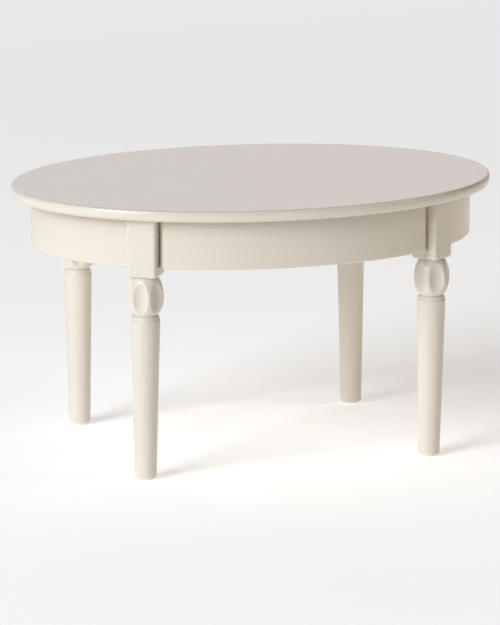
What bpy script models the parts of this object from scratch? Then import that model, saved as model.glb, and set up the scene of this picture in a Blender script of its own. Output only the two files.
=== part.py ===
"""Dolls' house oval dining table: a thin oval top on a curved apron and four turned legs.

The frame is four curved rails dowelled into four square corner posts. Each leg is a separate
turning, wider than its post, dowelled up into the post's end grain. A straight brace spans the
inside of each corner, and a countersunk screw goes up through it into the top.

Origin: on the floor, under the middle of the top. +X runs along the top's length, -Y is the
front and +Z is up. Lengths are in metres.
"""
import math

import bmesh
import bpy
from mathutils import Matrix, Vector

MM = 0.001
GAP = 0.3 * MM

# Top: an oval board with eased edges.
TABLE_HEIGHT = 88.4 * MM
TOP_SEMI = (80.0 * MM, 60.0 * MM)
TOP_THICKNESS = 3.6 * MM
TOP_EDGE_RADIUS = 1.0 * MM
TOP_OUTLINE_STEPS = 80

# Apron: the outer faces of the rails lie on one oval.
APRON_SEMI = (73.4 * MM, 55.0 * MM)
RAIL_THICKNESS = 5.2 * MM
RAIL_BOTTOM = 68.8 * MM
LONG_RAIL_END_RADIUS = 2.6 * MM
END_RAIL_END_RADIUS = 0.8 * MM
RAIL_EDGE_BEVEL = 0.4 * MM
RAIL_OUTLINE_STEPS = 9
RAIL_CORNER_STEPS = 4

# Corner posts: square blocks, turned to face straight out of the apron's oval.
LEG_X = 48.2 * MM
LEG_Y = 38.4 * MM
POST_SIDE = 9.6 * MM
POST_BOTTOM = 65.3 * MM
POST_EDGE_RADIUS = 0.9 * MM

# Turned legs: heights and radii of the profile, from the foot up.
LEG_TOP_RADIUS = 4.4 * MM
BULB_RADIUS = 5.95 * MM
BULB_WAIST_HEIGHT = 59.2 * MM
BULB_UPPER_REACH = 8.6 * MM
BULB_STEPS = 5
NECK_HEIGHT = 53.4 * MM
NECK_RADIUS = 3.75 * MM
SHOULDER_EDGE_HEIGHT = 52.4 * MM
SHOULDER_EDGE_RADIUS = 4.35 * MM
SHAFT_TOP_HEIGHT = 51.5 * MM
SHAFT_TOP_RADIUS = 4.62 * MM
FOOT_RADIUS = 3.56 * MM
FOOT_EDGE_RADIUS = 1.0 * MM
LEG_TURN_STEPS = 24

# Scoops: shallow hollows carved round the bulb, each a bite out of a long ellipsoid.
SCOOP_COUNT = 6
SCOOP_DEPTH = 1.45 * MM
SCOOP_ROUND = 4.0 * MM
SCOOP_HALF_LENGTH = 15.0 * MM
SCOOP_HEIGHT = 59.5 * MM

# Hidden joinery.
RAIL_DOWEL_RADIUS = 0.85 * MM
RAIL_DOWEL_INSET = 3.8 * MM
RAIL_DOWEL_LENGTH = 7.0 * MM
RAIL_DOWEL_HEIGHT = 77.0 * MM
LEG_DOWEL_RADIUS = 1.75 * MM
LEG_DOWEL_LENGTH = 12.0 * MM
LEG_DOWEL_MIDDLE = 65.0 * MM
DOWEL_SIDES = 12
BRACE_THICKNESS = 5.0 * MM
BRACE_HEIGHT = 6.0 * MM
BRACE_HALF_LENGTH = 24.0 * MM
BRACE_WALL_STEPS = 96
SCREW_RADIUS = 1.0 * MM
SCREW_HEAD_RADIUS = 2.0 * MM
SCREW_HEAD_RIM = 0.3 * MM
SCREW_HEAD_HEIGHT = 1.3 * MM
SCREW_TIP_HEIGHT = 1.2 * MM
SCREW_BITE = 2.2 * MM
SCREW_SIDES = 16

# Levels that follow from the sizes above.
TOP_UNDERSIDE = TABLE_HEIGHT - TOP_THICKNESS
FRAME_TOP = TOP_UNDERSIDE - GAP
LEG_TOP = POST_BOTTOM - GAP
BRACE_BOTTOM = FRAME_TOP - BRACE_HEIGHT
BRACE_OUTER_OFFSET = POST_SIDE / 2 + GAP
BRACE_MIDDLE_OFFSET = BRACE_OUTER_OFFSET + BRACE_THICKNESS / 2
SCREW_TIP = TOP_UNDERSIDE + SCREW_BITE

# Quadrant signs of the four corners; left is -X and front is -Y.
CORNERS = {
    "front_left": (-1, -1),
    "front_right": (1, -1),
    "back_left": (-1, 1),
    "back_right": (1, 1),
}

# How far each leg is turned about its own axis from facing the way its post faces, in degrees.
LEG_TURNS = {"front_left": 0.0, "front_right": 22.5, "back_left": 12.0, "back_right": -8.0}

# Principled values: colour, roughness and metallic.
FINISHES = {
    "top_paint": ((0.66, 0.61, 0.57, 1.0), 0.42, 0.0),
    "frame_paint": ((0.80, 0.74, 0.64, 1.0), 0.38, 0.0),
    "leg_paint": ((0.80, 0.75, 0.65, 1.0), 0.36, 0.0),
    "brace_wood": ((0.72, 0.60, 0.43, 1.0), 0.65, 0.0),
    "dowel_wood": ((0.70, 0.55, 0.36, 1.0), 0.60, 0.0),
    "screw_zinc": ((0.62, 0.61, 0.58, 1.0), 0.35, 1.0),
}


# ---------------------------------------------------------------- scene and materials

def clear_scene():
    """Remove every object that the file opened with."""
    for thing in list(bpy.data.objects):
        bpy.data.objects.remove(thing, do_unlink=True)


def new_collection(name):
    collection = bpy.data.collections.new(name)
    bpy.context.scene.collection.children.link(collection)
    return collection


def finish(name):
    """The named finish as a material, made the first time it is asked for."""
    material = bpy.data.materials.get(name)
    if material is None:
        colour, roughness, metallic = FINISHES[name]
        material = bpy.data.materials.new(name)
        material.use_nodes = True
        shader = material.node_tree.nodes["Principled BSDF"]
        shader.inputs["Base Color"].default_value = colour
        shader.inputs["Roughness"].default_value = roughness
        shader.inputs["Metallic"].default_value = metallic
        material.diffuse_color = colour
    return material


# ---------------------------------------------------------------- making solids

def add_object(name, mesh, collection, finish_name=None):
    thing = bpy.data.objects.new(name, mesh)
    collection.objects.link(thing)
    if finish_name is not None:
        mesh.materials.append(finish(finish_name))
    return thing


def as_cutter(thing):
    """Keep a cutting solid out of the model."""
    thing.hide_render = True
    thing.display_type = "WIRE"
    return thing


def mesh_from_bmesh(name, solid):
    mesh = bpy.data.meshes.new(name)
    solid.to_mesh(mesh)
    solid.free()
    return mesh


def prism(name, outline, bottom, top, collection, finish_name=None):
    """An upright solid of one flat outline: a filled 2D curve, extruded and welded."""
    curve = bpy.data.curves.new(name, "CURVE")
    curve.dimensions = "2D"
    curve.fill_mode = "BOTH"
    curve.extrude = (top - bottom) / 2
    spline = curve.splines.new("POLY")
    spline.points.add(len(outline) - 1)
    spline.use_cyclic_u = True
    for point, place in zip(spline.points, outline):
        point.co = (place[0], place[1], 0.0, 1.0)
    drawn = bpy.data.objects.new(name + "_outline", curve)
    drawn.location.z = (top + bottom) / 2
    collection.objects.link(drawn)
    bpy.context.view_layer.update()

    graph = bpy.context.evaluated_depsgraph_get()
    mesh = bpy.data.meshes.new_from_object(drawn.evaluated_get(graph))
    solid = bmesh.new()
    solid.from_mesh(mesh)
    bmesh.ops.remove_doubles(solid, verts=solid.verts, dist=0.01 * MM)
    bmesh.ops.dissolve_limit(
        solid, angle_limit=math.radians(0.1), verts=solid.verts, edges=solid.edges)
    bmesh.ops.recalc_face_normals(solid, faces=solid.faces)
    solid.to_mesh(mesh)
    solid.free()
    mesh.materials.clear()
    piece = add_object(name, mesh, collection, finish_name)
    piece.matrix_world = drawn.matrix_world
    bpy.data.objects.remove(drawn, do_unlink=True)
    return piece


def cylinders(name, placements, radius, length, sides):
    """One mesh of equal closed cylinders, each centred and turned by its placement matrix."""
    solid = bmesh.new()
    for placement in placements:
        bmesh.ops.create_cone(
            solid, cap_ends=True, segments=sides, radius1=radius, radius2=radius,
            depth=length, matrix=placement)
    return mesh_from_bmesh(name, solid)


def turned(name, profile, steps, collection, finish_name=None):
    """A turning: a profile of (radius, height) pairs, top to bottom, screwed round Z."""
    mesh = bpy.data.meshes.new(name)
    edges = [(index, index + 1) for index in range(len(profile) - 1)]
    mesh.from_pydata([(radius, 0.0, height) for radius, height in profile], edges, [])
    piece = add_object(name, mesh, collection, finish_name)
    screw = piece.modifiers.new("turn", "SCREW")
    screw.axis = "Z"
    screw.angle = math.tau
    screw.steps = steps
    screw.render_steps = steps
    screw.use_merge_vertices = True
    screw.merge_threshold = 0.01 * MM
    screw.use_smooth_shade = True
    return piece


def ease_edges(piece, width, segments):
    bevel = piece.modifiers.new("eased_edges", "BEVEL")
    bevel.width = width
    bevel.segments = segments
    bevel.limit_method = "ANGLE"
    bevel.angle_limit = math.radians(60)


def cut(piece, cutter, operation="DIFFERENCE"):
    boolean = piece.modifiers.new(cutter.name, "BOOLEAN")
    boolean.operation = operation
    boolean.solver = "EXACT"
    boolean.object = cutter


# ---------------------------------------------------------------- the oval and its corners

def oval_point(semi, angle, inset=0.0):
    """The oval's point at a parameter angle, moved straight inwards by the inset."""
    normal = Vector((math.cos(angle) / semi[0], math.sin(angle) / semi[1])).normalized()
    point = Vector((semi[0] * math.cos(angle), semi[1] * math.sin(angle)))
    return point - normal * inset, normal


def oval_outline(semi, steps, inset=0.0):
    return [oval_point(semi, math.tau * step / steps, inset)[0] for step in range(steps)]


def post_turn():
    """The angle between a post's facing and the Y axis: the apron oval's normal there."""
    return math.atan2(LEG_X / APRON_SEMI[0] ** 2, LEG_Y / APRON_SEMI[1] ** 2)


def corner_frame(signs):
    """A corner's centre, its outward direction, and the way to its long rail, in plan."""
    turn = post_turn()
    sign_x, sign_y = signs
    centre = Vector((sign_x * LEG_X, sign_y * LEG_Y))
    outward = Vector((sign_x * math.sin(turn), sign_y * math.cos(turn)))
    to_long_rail = Vector((-sign_x * math.cos(turn), sign_y * math.sin(turn)))
    return centre, outward, to_long_rail


def angle_at_distance(inset, along, distance, near, far):
    """The oval angle between near and far where the inset curve is that far along.

    The distance grows from near to far, so the interval is halved until it is tiny.
    """
    for _ in range(50):
        middle = (near + far) / 2
        if oval_point(APRON_SEMI, middle, inset)[0].dot(along) < distance:
            near = middle
        else:
            far = middle
    return (near + far) / 2


def placement(centre, height, direction=None):
    """A matrix that puts Z on a plan direction, or leaves it upright, at a place in plan."""
    spin = Matrix.Identity(4)
    if direction is not None:
        spin = Vector((direction.x, direction.y, 0.0)).to_track_quat("Z", "Y").to_matrix().to_4x4()
    return Matrix.Translation((centre.x, centre.y, height)) @ spin


# ---------------------------------------------------------------- outlines and profiles

def rail_reach(signs, long_rail):
    """The way one half of a rail runs: from its post, and to the oval angle at its middle."""
    centre, _, along = corner_frame(signs)
    if long_rail:
        middle = signs[1] * math.pi / 2
    else:
        along = -along
        middle = 0.0 if signs[0] > 0 else signs[1] * math.pi
    beside_post = math.atan2(centre.y / APRON_SEMI[1], centre.x / APRON_SEMI[0])
    return centre.dot(along) + POST_SIDE / 2, along, beside_post, middle


def half_rail_outline(signs, long_rail):
    """Half of a rail's outline: outer face from its middle, round its end, back inside.

    The end stands a gap off the post's side face, and its outer corner is a quarter round.
    """
    post_side, along, beside_post, middle = rail_reach(signs, long_rail)
    end_plane = post_side + GAP
    radius = LONG_RAIL_END_RADIUS if long_rail else END_RAIL_END_RADIUS

    outer_end = angle_at_distance(radius, along, end_plane + radius, beside_post, middle)
    inner_end = angle_at_distance(RAIL_THICKNESS, along, end_plane, beside_post, middle)
    points = []
    for step in range(RAIL_OUTLINE_STEPS):
        angle = middle + (outer_end - middle) * step / RAIL_OUTLINE_STEPS
        points.append(oval_point(APRON_SEMI, angle)[0])
    pivot, normal = oval_point(APRON_SEMI, outer_end, radius)
    sweep = normal.angle_signed(-along)
    for step in range(RAIL_CORNER_STEPS + 1):
        arm = normal.copy()
        arm.rotate(Matrix.Rotation(-sweep * step / RAIL_CORNER_STEPS, 2))
        points.append(pivot + arm * radius)
    for step in range(RAIL_OUTLINE_STEPS + 1):
        angle = inner_end + (middle - inner_end) * step / RAIL_OUTLINE_STEPS
        points.append(oval_point(APRON_SEMI, angle, RAIL_THICKNESS)[0])
    return points


def rail_outline(signs, long_rail):
    """A whole rail's outline: its half and that half's mirror image."""
    half = half_rail_outline(signs, long_rail)
    flip = (-1, 1) if long_rail else (1, -1)
    mirrored = [Vector((point.x * flip[0], point.y * flip[1])) for point in reversed(half)]
    return half + mirrored[1:-1]


def leg_profile():
    """The leg's turned profile from the middle of its top, down the outside, to its foot.

    The bulb is two quarter ellipses that share its widest radius; under it come a sharp neck,
    a sloping shoulder with an eased edge, a straight tapered shaft and a rounded foot.
    """
    points = [(0.0, LEG_TOP), (LEG_TOP_RADIUS, LEG_TOP)]
    upper_share = (LEG_TOP - BULB_WAIST_HEIGHT) / BULB_UPPER_REACH
    start = math.asin(upper_share)
    for step in range(1, BULB_STEPS):
        angle = start * (1 - step / BULB_STEPS)
        points.append((BULB_RADIUS * math.cos(angle),
                       BULB_WAIST_HEIGHT + BULB_UPPER_REACH * math.sin(angle)))
    end = math.acos(NECK_RADIUS / BULB_RADIUS)
    lower_reach = (BULB_WAIST_HEIGHT - NECK_HEIGHT) / math.sin(end)
    for step in range(BULB_STEPS + 1):
        angle = end * step / BULB_STEPS
        points.append((BULB_RADIUS * math.cos(angle),
                       BULB_WAIST_HEIGHT - lower_reach * math.sin(angle)))
    points.append((SHOULDER_EDGE_RADIUS, SHOULDER_EDGE_HEIGHT))
    points.append((SHAFT_TOP_RADIUS, SHAFT_TOP_HEIGHT))
    for step in range(4):
        angle = math.pi / 2 * step / 3
        points.append((FOOT_RADIUS - FOOT_EDGE_RADIUS * (1 - math.cos(angle)),
                       FOOT_EDGE_RADIUS * (1 - math.sin(angle))))
    points.append((0.0, 0.0))
    return points


def screw_profile():
    """A countersunk wood screw, point up, from its tip down to the middle of its head."""
    head_face = BRACE_BOTTOM
    return [
        (0.0, SCREW_TIP),
        (SCREW_RADIUS, SCREW_TIP - SCREW_TIP_HEIGHT),
        (SCREW_RADIUS, head_face + SCREW_HEAD_HEIGHT),
        (SCREW_HEAD_RADIUS, head_face + SCREW_HEAD_RIM),
        (SCREW_HEAD_RADIUS, head_face),
        (0.0, head_face),
    ]


def screw_hole_profile():
    """The screw's pilot hole and countersink, a gap larger and open below the brace."""
    head_face = BRACE_BOTTOM
    return [
        (0.0, SCREW_TIP + GAP),
        (SCREW_RADIUS + GAP, SCREW_TIP + GAP),
        (SCREW_RADIUS + GAP, head_face + SCREW_HEAD_HEIGHT + GAP),
        (SCREW_HEAD_RADIUS + GAP, head_face + SCREW_HEAD_RIM),
        (SCREW_HEAD_RADIUS + GAP, head_face - GAP),
        (0.0, head_face - GAP),
    ]


# ---------------------------------------------------------------- cutters

def leg_dowel_places():
    """Each leg dowel's name and placement, upright across the joint of a leg and its post."""
    return {
        corner + "_leg_dowel": placement(corner_frame(signs)[0], LEG_DOWEL_MIDDLE)
        for corner, signs in CORNERS.items()
    }


def rail_dowel_places():
    """Each rail dowel's name and placement, level across the joint of a post and a rail.

    The dowels stand behind the middle of the rail's thickness, clear of its rounded corner.
    """
    places = {}
    for corner, signs in CORNERS.items():
        for rail in ("long", "end"):
            post_side, along, beside_post, middle = rail_reach(signs, rail == "long")
            angle = angle_at_distance(
                RAIL_DOWEL_INSET, along, post_side + GAP / 2, beside_post, middle)
            joint = oval_point(APRON_SEMI, angle, RAIL_DOWEL_INSET)[0]
            places[f"{corner}_{rail}_rail_dowel"] = placement(joint, RAIL_DOWEL_HEIGHT, along)
    return places


def screw_places():
    """Each top screw's name and placement, in the middle of its brace."""
    places = {}
    for corner, signs in CORNERS.items():
        centre, outward, _ = corner_frame(signs)
        places[corner + "_screw"] = placement(centre - outward * BRACE_MIDDLE_OFFSET, 0.0)
    return places


def screw_hole_cutter(collection):
    """One cutter that holds the hole of every screw: a turning copied to each place."""
    pattern = turned("screw_hole", screw_hole_profile(), SCREW_SIDES, collection)
    graph = bpy.context.evaluated_depsgraph_get()
    shape = bpy.data.meshes.new_from_object(pattern.evaluated_get(graph))
    group = bmesh.new()
    for place in screw_places().values():
        copy = shape.copy()
        copy.transform(place)
        group.from_mesh(copy)
        bpy.data.meshes.remove(copy)
    bpy.data.meshes.remove(shape)
    bpy.data.objects.remove(pattern, do_unlink=True)
    return as_cutter(add_object("screw_holes", mesh_from_bmesh("screw_holes", group), collection))


def scoop_cutter(corner, signs, collection):
    """The ellipsoids that carve the scoops round one leg's bulb."""
    centre, outward, _ = corner_frame(signs)
    facing = math.atan2(outward.y, outward.x) + math.radians(LEG_TURNS[corner])
    reach = BULB_RADIUS - SCOOP_DEPTH + SCOOP_ROUND
    stretch = Matrix.Diagonal((SCOOP_ROUND, SCOOP_ROUND, SCOOP_HALF_LENGTH, 1.0))
    solid = bmesh.new()
    for index in range(SCOOP_COUNT):
        angle = facing + math.tau * index / SCOOP_COUNT
        place = Matrix.Translation((
            centre.x + reach * math.cos(angle), centre.y + reach * math.sin(angle), SCOOP_HEIGHT))
        bmesh.ops.create_uvsphere(
            solid, u_segments=32, v_segments=24, radius=1.0,
            matrix=place @ Matrix.Rotation(angle, 4, "Z") @ stretch)
    mesh = mesh_from_bmesh(corner + "_scoops", solid)
    return as_cutter(add_object(corner + "_scoops", mesh, collection))


def make_cutters(collection):
    """The bores and countersinks that the joinery needs, one cutter for each kind."""
    rail_bores = cylinders(
        "rail_dowel_bores", rail_dowel_places().values(), RAIL_DOWEL_RADIUS + GAP,
        RAIL_DOWEL_LENGTH + 2 * GAP, DOWEL_SIDES)
    leg_bores = cylinders(
        "leg_dowel_bores", leg_dowel_places().values(), LEG_DOWEL_RADIUS + GAP,
        LEG_DOWEL_LENGTH + 2 * GAP, DOWEL_SIDES)
    return {
        "rail_bores": as_cutter(add_object("rail_dowel_bores", rail_bores, collection)),
        "leg_bores": as_cutter(add_object("leg_dowel_bores", leg_bores, collection)),
        "screw_holes": screw_hole_cutter(collection),
        "apron_inside": as_cutter(prism(
            "apron_inside", oval_outline(APRON_SEMI, BRACE_WALL_STEPS, RAIL_THICKNESS + GAP),
            RAIL_BOTTOM, TABLE_HEIGHT, collection)),
    }


# ---------------------------------------------------------------- the table's pieces

def make_tabletop(table, cutters):
    top = prism("tabletop", oval_outline(TOP_SEMI, TOP_OUTLINE_STEPS),
                TOP_UNDERSIDE, TABLE_HEIGHT, table, "top_paint")
    ease_edges(top, TOP_EDGE_RADIUS, 3)
    cut(top, cutters["screw_holes"])


def make_rails(table, cutters):
    """Front and back rails between the posts on a long side, left and right ones at the ends."""
    rails = {
        "front_rail": ((1, -1), True),
        "back_rail": ((1, 1), True),
        "left_rail": ((-1, 1), False),
        "right_rail": ((1, 1), False),
    }
    for name, (signs, long_rail) in rails.items():
        rail = prism(name, rail_outline(signs, long_rail), RAIL_BOTTOM, FRAME_TOP,
                     table, "frame_paint")
        ease_edges(rail, RAIL_EDGE_BEVEL, 1)
        cut(rail, cutters["rail_bores"])


def make_posts(table, cutters):
    half_height = (FRAME_TOP - POST_BOTTOM) / 2
    for corner, signs in CORNERS.items():
        centre, outward, _ = corner_frame(signs)
        solid = bmesh.new()
        bmesh.ops.create_cube(solid, size=1.0, matrix=Matrix.Diagonal(
            (POST_SIDE, POST_SIDE, 2 * half_height, 1.0)))
        name = corner + "_post"
        post = add_object(name, mesh_from_bmesh(name, solid), table, "frame_paint")
        post.location = (centre.x, centre.y, POST_BOTTOM + half_height)
        post.rotation_euler.z = math.atan2(outward.y, outward.x)
        ease_edges(post, POST_EDGE_RADIUS, 2)
        cut(post, cutters["rail_bores"])
        cut(post, cutters["leg_bores"])


def make_legs(table, cutters, cutter_collection):
    profile = leg_profile()
    for corner, signs in CORNERS.items():
        centre = corner_frame(signs)[0]
        leg = turned(corner + "_leg", profile, LEG_TURN_STEPS, table, "leg_paint")
        leg.location = (centre.x, centre.y, 0.0)
        cut(leg, scoop_cutter(corner, signs, cutter_collection))
        cut(leg, cutters["leg_bores"])


def make_braces(table, cutters):
    """A bar across the inside of each corner, its ends fitted to the rails' inner faces."""
    for corner, signs in CORNERS.items():
        centre, outward, to_long_rail = corner_frame(signs)
        outer = centre - outward * BRACE_OUTER_OFFSET
        inner = outer - outward * BRACE_THICKNESS
        reach = to_long_rail * BRACE_HALF_LENGTH
        outline = [outer - reach, outer + reach, inner + reach, inner - reach]
        brace = prism(corner + "_brace", outline, BRACE_BOTTOM, FRAME_TOP, table, "brace_wood")
        cut(brace, cutters["apron_inside"], "INTERSECT")
        cut(brace, cutters["screw_holes"])


def make_dowels(table, places, radius, length):
    """A dowel at each named place."""
    for name, place in places.items():
        mesh = cylinders(name, [Matrix.Identity(4)], radius, length, DOWEL_SIDES)
        dowel = add_object(name, mesh, table, "dowel_wood")
        dowel.matrix_world = place


def make_screws(table):
    for name, place in screw_places().items():
        screw = turned(name, screw_profile(), SCREW_SIDES, table, "screw_zinc")
        screw.matrix_world = place


def main():
    clear_scene()
    table = new_collection("oval_dining_table")
    cutter_collection = new_collection("cutters")
    cutters = make_cutters(cutter_collection)
    make_tabletop(table, cutters)
    make_rails(table, cutters)
    make_posts(table, cutters)
    make_legs(table, cutters, cutter_collection)
    make_braces(table, cutters)
    make_dowels(table, leg_dowel_places(), LEG_DOWEL_RADIUS, LEG_DOWEL_LENGTH)
    make_dowels(table, rail_dowel_places(), RAIL_DOWEL_RADIUS, RAIL_DOWEL_LENGTH)
    make_screws(table)


main()
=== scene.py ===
"""Looks of a dolls' house oval dining table: a painted top, curved apron, posts and turned legs.

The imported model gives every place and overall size. Each class below makes one kind of piece as
a smooth surface worked out with numpy, and its finish is a node material in the table's own frame.
"""

import logging
import math
from dataclasses import dataclass
from enum import Enum
from typing import Sequence, Union

import bpy
import numpy as np
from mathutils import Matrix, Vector


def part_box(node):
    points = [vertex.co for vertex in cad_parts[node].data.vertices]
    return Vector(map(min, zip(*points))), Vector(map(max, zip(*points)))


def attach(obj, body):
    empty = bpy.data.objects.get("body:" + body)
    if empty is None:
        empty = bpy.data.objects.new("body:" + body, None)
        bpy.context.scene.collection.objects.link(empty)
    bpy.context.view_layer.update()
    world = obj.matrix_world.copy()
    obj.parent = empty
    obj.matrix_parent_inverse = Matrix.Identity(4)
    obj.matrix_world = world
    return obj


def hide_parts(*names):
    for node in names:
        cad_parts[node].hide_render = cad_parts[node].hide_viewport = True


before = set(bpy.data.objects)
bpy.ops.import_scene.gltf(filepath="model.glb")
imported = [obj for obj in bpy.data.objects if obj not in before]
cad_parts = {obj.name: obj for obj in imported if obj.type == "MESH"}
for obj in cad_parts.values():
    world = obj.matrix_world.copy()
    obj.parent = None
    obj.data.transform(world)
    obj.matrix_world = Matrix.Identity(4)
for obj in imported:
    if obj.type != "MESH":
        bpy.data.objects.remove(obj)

MM = 0.001
TAU = math.tau
QUARTER = TAU / 4
POST_HALF = 4.8 * MM  # half of a corner post's square side
RAIL_WALL = 5.2 * MM  # the thickness of an apron rail
TUCK = 0.02 * MM  # how far a hidden edge runs into its neighbour, so that no light shows between
Array = np.ndarray
Colour = tuple[float, float, float]
Value = Union[float, Sequence[float], bpy.types.NodeSocket]

log = logging.getLogger("dining_table")


# ------------------------------------------------------------------ shared shapes

class Corner(Enum):
    """The four corners of the frame, as the signs of their x and y."""

    FRONT_LEFT = (-1, -1)
    FRONT_RIGHT = (1, -1)
    BACK_LEFT = (-1, 1)
    BACK_RIGHT = (1, 1)

    @property
    def label(self) -> str:
        """The corner's name as the nodes spell it."""
        return self.name.lower()


@dataclass(frozen=True)
class Oval:
    """An ellipse in plan, centred on the table."""

    semi_x: float
    semi_y: float

    def normal(self, angle: Array) -> Array:
        """Unit outward normals: (cos t / a, sin t / b), scaled to length one.

        Args:
            angle: The ellipse's parameter t, of any shape.

        Returns:
            The normals, with x and y on a last axis.
        """
        raw = np.stack([np.cos(angle) / self.semi_x, np.sin(angle) / self.semi_y], axis=-1)
        return raw / np.linalg.norm(raw, axis=-1, keepdims=True)

    def place(self, angle: Array, inset: Array | float = 0.0) -> Array:
        """Points (a cos t, b sin t), moved inwards along the normal by the inset.

        Args:
            angle: The ellipse's parameter t.
            inset: How far inside the ellipse the curve runs.

        Returns:
            The points, with x and y on a last axis.
        """
        rim = np.stack([self.semi_x * np.cos(angle), self.semi_y * np.sin(angle)], axis=-1)
        return rim - self.normal(angle) * np.asarray(inset)[..., None]


@dataclass(frozen=True)
class CornerFrame:
    """Plan directions at a corner post: its centre, outwards, and along to the long rail."""

    centre: Array
    outward: Array
    along: Array


def plan_centre(node: str) -> Array:
    """The middle of a node's box, as x and y."""
    low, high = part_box(node)
    return np.array([(low.x + high.x) / 2, (low.y + high.y) / 2])


class TableFrame:
    """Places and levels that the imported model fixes."""

    def __init__(self) -> None:
        """Read the boxes of the nodes that set the sizes."""
        low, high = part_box("tabletop")
        self.top_oval = Oval(high.x, high.y)
        self.top = high.z
        self.underside = low.z
        self.apron_oval = Oval(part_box("right_rail")[1].x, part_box("back_rail")[1].y)
        self.rail_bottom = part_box("front_rail")[0].z
        self.post_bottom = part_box("front_left_post")[0].z
        self.brace_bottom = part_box("front_left_brace")[0].z

    def corner(self, corner: Corner) -> CornerFrame:
        """The frame of one corner, its post facing along the apron oval's normal.

        Args:
            corner: Which corner.

        Returns:
            The post's centre and its two plan directions.
        """
        centre = plan_centre(corner.label + "_leg_dowel")
        outward = np.array([centre[0] / self.apron_oval.semi_x ** 2,
                            centre[1] / self.apron_oval.semi_y ** 2])
        outward /= np.linalg.norm(outward)
        along = np.array([-corner.value[0] * abs(outward[1]), corner.value[1] * abs(outward[0])])
        return CornerFrame(centre, outward, along)


def ease(value: Array) -> Array:
    """A smooth step from 0 to 1 over the same range: 3 v squared less 2 v cubed."""
    share = np.clip(value, 0.0, 1.0)
    return share * share * (3.0 - 2.0 * share)


def lift(points: Array, height: Array) -> Array:
    """Plan points with a height added as their third coordinate."""
    return np.concatenate([points, np.broadcast_to(height, points.shape[:-1])[..., None]], axis=-1)


def grid_object(name: str, points: Array, weights: dict[str, Array] | None = None,
                sharp: float = 50.0) -> bpy.types.Object:
    """A closed tube of a rectangular grid of points, its two ends shut by fans.

    Row i and column j of the grid is vertex i times the column count plus j. The last column
    joins the first, and the first and last row each close on their own mean point. The faces are
    turned round if the solid's signed volume, a sixth of the sum of triple products, is negative.

    Args:
        name: The new object's name.
        points: The grid, as rows by columns by three.
        weights: Named masks from 0 to 1 for the finish, each as rows by columns.
        sharp: Edges that fold by more than this many degrees stay crisp.

    Returns:
        The object, at the origin, in the scene's collection.
    """
    rows, columns = points.shape[:2]
    index = np.arange(rows * columns).reshape(rows, columns)
    after = np.roll(index, -1, axis=1)
    quads = np.stack([index[:-1], after[:-1], after[1:], index[1:]], axis=-1).reshape(-1, 4)
    ends = np.stack([points[0].mean(axis=0), points[-1].mean(axis=0)])
    first = np.full(columns, rows * columns)
    fans = np.concatenate([np.stack([first, after[0], index[0]], axis=-1),
                           np.stack([first + 1, index[-1], after[-1]], axis=-1)])
    vertices = np.concatenate([points.reshape(-1, 3), ends])

    triangles = np.concatenate([quads[:, :3], quads[:, [0, 2, 3]], fans])
    corners = vertices[triangles]
    volume = np.einsum("ij,ij->i", corners[:, 0], np.cross(corners[:, 1], corners[:, 2])).sum()
    if volume < 0:
        quads, fans = quads[:, ::-1], fans[:, ::-1]

    mesh = bpy.data.meshes.new(name)
    mesh.from_pydata(vertices.tolist(), [], quads.tolist() + fans.tolist())
    for label, weight in (weights or {}).items():
        mask = np.broadcast_to(weight, (rows, columns))
        mask = np.concatenate([mask.ravel(), mask[[0, -1]].mean(axis=1)])
        layer = mesh.attributes.new(label, "FLOAT", "POINT")
        layer.data.foreach_set("value", mask.astype(np.float32))
    mesh.shade_smooth()
    mesh.set_sharp_from_angle(angle=math.radians(sharp))
    mesh.validate()
    piece = bpy.data.objects.new(name, mesh)
    bpy.context.scene.collection.objects.link(piece)
    return piece


def rounded_loop(half_u: float, half_v: float, radius: float, inset: Array,
                 side_steps: int = 8, corner_steps: int = 6) -> Array:
    """Rounded rectangles, one for each inset, each a loop of four quarter circles and flats.

    A corner's centre is a radius inside both faces, and its arc runs from one face's normal to
    the next. The flats between the arcs are divided evenly.

    Args:
        half_u: Half of the rectangle's first side.
        half_v: Half of its second side.
        radius: The corners' radius.
        inset: How far each loop is drawn in, one value a row.
        side_steps: Points along a flat.
        corner_steps: Steps round a corner.

    Returns:
        The loops, as rows by columns by two.
    """
    turn = np.linspace(0.0, QUARTER, corner_steps + 1)
    arcs = []
    for quarter, (sign_u, sign_v) in enumerate(((1, 1), (-1, 1), (-1, -1), (1, -1))):
        angle = turn + quarter * QUARTER
        arcs.append(np.stack([sign_u * (half_u - radius) + radius * np.cos(angle),
                              sign_v * (half_v - radius) + radius * np.sin(angle)], axis=-1))
    share = np.linspace(0.0, 1.0, side_steps + 2)[1:-1, None]
    pieces = []
    for arc, following in zip(arcs, arcs[1:] + arcs[:1]):
        pieces += [arc, arc[-1] * (1 - share) + following[0] * share]
    loop = np.concatenate(pieces)
    shrink = 1.0 - np.asarray(inset)[:, None] / np.array([half_u, half_v])
    return loop[None] * shrink[:, None, :]


# ------------------------------------------------------------------ node materials

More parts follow.
